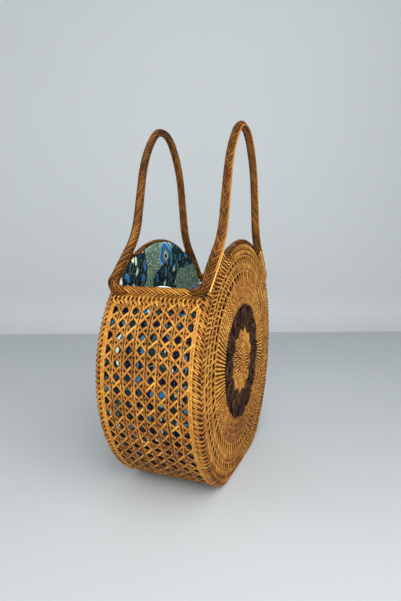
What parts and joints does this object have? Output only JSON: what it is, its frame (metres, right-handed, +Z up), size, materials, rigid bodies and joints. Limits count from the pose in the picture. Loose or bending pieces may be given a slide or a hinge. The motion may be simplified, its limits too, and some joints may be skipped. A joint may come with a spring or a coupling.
{
  "type": "round woven bag",
  "caption": "Round hand-woven rattan bag: two coiled discs, an open cane side band, a cotton lining and two plaited handle loops that flex.",
  "frame": {"origin": "on the standing surface, under the middle of the bag's flat bottom", "axes": "+Z up, X across the round discs, Y from the front disc (-Y) to the back disc (+Y)"},
  "size_m": [0.3, 0.116, 0.4235],
  "materials": {
    "natural_coil": "satin",
    "dark_coil": "satin",
    "plaited_braid": "satin",
    "cane_lattice": "satin",
    "rattan_core": "matte",
    "cotton_lining": "matte"
  },
  "bodies": {
    "basket": {"front_star_centre": "natural_coil", "front_petals": "dark_coil", "front_dense_coil": "natural_coil", "front_inner_openwork": "natural_coil", "front_divider_coil": "natural_coil", "front_outer_openwork": "natural_coil", "front_edge_coil": "natural_coil", "front_top_coil": "natural_coil", "front_crown_binding": "dark_coil", "front_left_shoulder_filler": "natural_coil", "front_left_shoulder_braid": "plaited_braid", "front_left_shoulder_core": "rattan_core", "front_right_shoulder_filler": "natural_coil", "front_right_shoulder_braid": "plaited_braid", "front_right_shoulder_core": "rattan_core", "front_lining": "cotton_lining", "back_star_centre": "natural_coil", "back_petals": "dark_coil", "back_dense_coil": "natural_coil", "back_inner_openwork": "natural_coil", "back_divider_coil": "natural_coil", "back_outer_openwork": "natural_coil", "back_edge_coil": "natural_coil", "back_top_coil": "natural_coil", "back_crown_binding": "dark_coil", "back_left_shoulder_filler": "natural_coil", "back_left_shoulder_braid": "plaited_braid", "back_left_shoulder_core": "rattan_core", "back_right_shoulder_filler": "natural_coil", "back_right_shoulder_braid": "plaited_braid", "back_right_shoulder_core": "rattan_core", "back_lining": "cotton_lining", "gusset_lattice": "cane_lattice", "gusset_lining": "cotton_lining", "left_gusset_border": "cane_lattice", "left_mouth_braid": "plaited_braid", "left_mouth_core": "rattan_core", "left_lining_hem": "cotton_lining", "right_gusset_border": "cane_lattice", "right_mouth_braid": "plaited_braid", "right_mouth_core": "rattan_core", "right_lining_hem": "cotton_lining"},
    "front_handle": {"front_handle_braid": "plaited_braid", "front_handle_core": "rattan_core"},
    "back_handle": {"back_handle_braid": "plaited_braid", "back_handle_core": "rattan_core"}
  },
  "joints": [
    {"name": "front_handle_flex", "type": "hinge", "parent": "basket", "child": "front_handle", "pos_m": [0, -0.0525, 0.304], "axis": [-1, 0, 0], "range_deg": [-10, 22], "stiffness_Nm_per_rad": 2},
    {"name": "back_handle_flex", "type": "hinge", "parent": "basket", "child": "back_handle", "pos_m": [0, 0.0525, 0.304], "axis": [1, 0, 0], "range_deg": [-10, 22], "stiffness_Nm_per_rad": 2}
  ]
}
